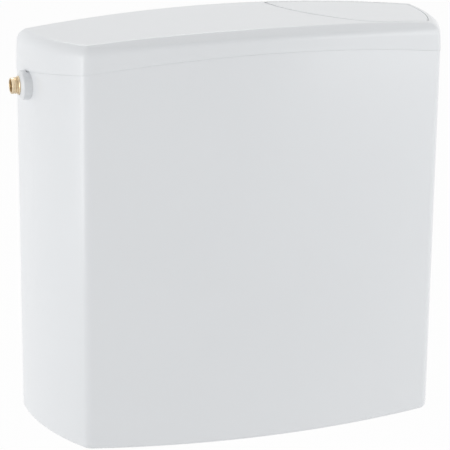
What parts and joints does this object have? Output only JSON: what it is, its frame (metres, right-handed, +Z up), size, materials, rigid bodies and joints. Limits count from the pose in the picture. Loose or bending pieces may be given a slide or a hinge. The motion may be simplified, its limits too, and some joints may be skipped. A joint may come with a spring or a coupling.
{
  "type": "toilet cistern",
  "caption": "Wall-hung toilet cistern with a bowed plastic tank, a crowned lift-off lid with a flush key, a side water inlet, a fill valve and a flush valve.",
  "frame": {"origin": "on the wall plane, midway between the two wall screw holes", "axes": "+X to the right seen from the front, +Y into the wall, +Z up"},
  "size_m": [0.4486, 0.166, 0.43],
  "materials": {
    "white_gloss": "satin",
    "white_inner": "satin",
    "foam": "matte",
    "grey_plastic": "satin",
    "blue_plastic": "satin",
    "rubber": "matte",
    "brass": "satin",
    "steel": "satin"
  },
  "bodies": {
    "housing": {"tank": "white_gloss", "insulation_liner": "foam", "lever_tower": "grey_plastic", "lever_pin": "steel", "valve_cage": "grey_plastic", "outlet_basin": "grey_plastic", "basin_gasket": "rubber", "lock_nut": "grey_plastic", "union_nut": "grey_plastic", "pipe_seal": "rubber", "inlet_nipple": "brass", "inlet_collar": "white_gloss", "inlet_washer": "rubber", "inlet_nut": "grey_plastic", "inlet_strainer": "blue_plastic", "fill_body": "white_inner", "diaphragm": "rubber", "fill_cap": "grey_plastic", "fill_lever_pin": "steel", "drop_tube": "white_inner", "side_plug": "white_gloss", "side_plug_nut": "grey_plastic"},
    "lid": {"lid": "white_gloss", "key_tray": "white_inner", "key_hinge_pin": "steel", "key_spring": "steel", "tray_screws": "steel"},
    "flush_key": {"flush_key": "white_gloss"},
    "lift_lever": {"lift_lever": "blue_plastic"},
    "flush_bell": {"overflow_tube": "white_inner", "flush_seal": "rubber", "seal_retainer": "grey_plastic", "valve_float": "foam", "lift_rod": "blue_plastic"},
    "float": {"float": "foam", "float_rod": "blue_plastic"},
    "fill_lever": {"fill_lever": "blue_plastic"}
  },
  "joints": [
    {"name": "lid_lift", "type": "slide", "parent": "housing", "child": "lid", "axis": [0, 0, 1], "range_m": [0, 0.15]},
    {"name": "key_press", "type": "hinge", "parent": "lid", "child": "flush_key", "pos_m": [0.126, -0.02, 0.062], "axis": [1, 0, 0], "range_deg": [0, 5], "stiffness_Nm_per_rad": 0.6, "springref_deg": -17.19, "deforming": ["key_spring"]},
    {"name": "lever_turn", "type": "hinge", "parent": "housing", "child": "lift_lever", "pos_m": [0.052, -0.078, 0.03], "axis": [0, 1, 0], "range_deg": [0, 11.2]},
    {"name": "flush_lift", "type": "slide", "parent": "housing", "child": "flush_bell", "axis": [0, 0, 1], "range_m": [0, 0.0105]},
    {"name": "float_rise", "type": "slide", "parent": "housing", "child": "float", "axis": [0, 0, 1], "range_m": [0, 0.014]},
    {"name": "fill_lever_turn", "type": "hinge", "parent": "housing", "child": "fill_lever", "pos_m": [-0.13688, -0.04, 0.00389], "axis": [0, -1, 0], "range_deg": [0, 20.1]}
  ],
  "couplings": [
    {"joint": "lever_turn", "follows": "key_press", "ratio": 2.2308},
    {"joint": "flush_lift", "follows": "key_press", "m_per_rad": 0.1191},
    {"joint": "fill_lever_turn", "follows": "float_rise", "rad_per_m": 24.93}
  ]
}
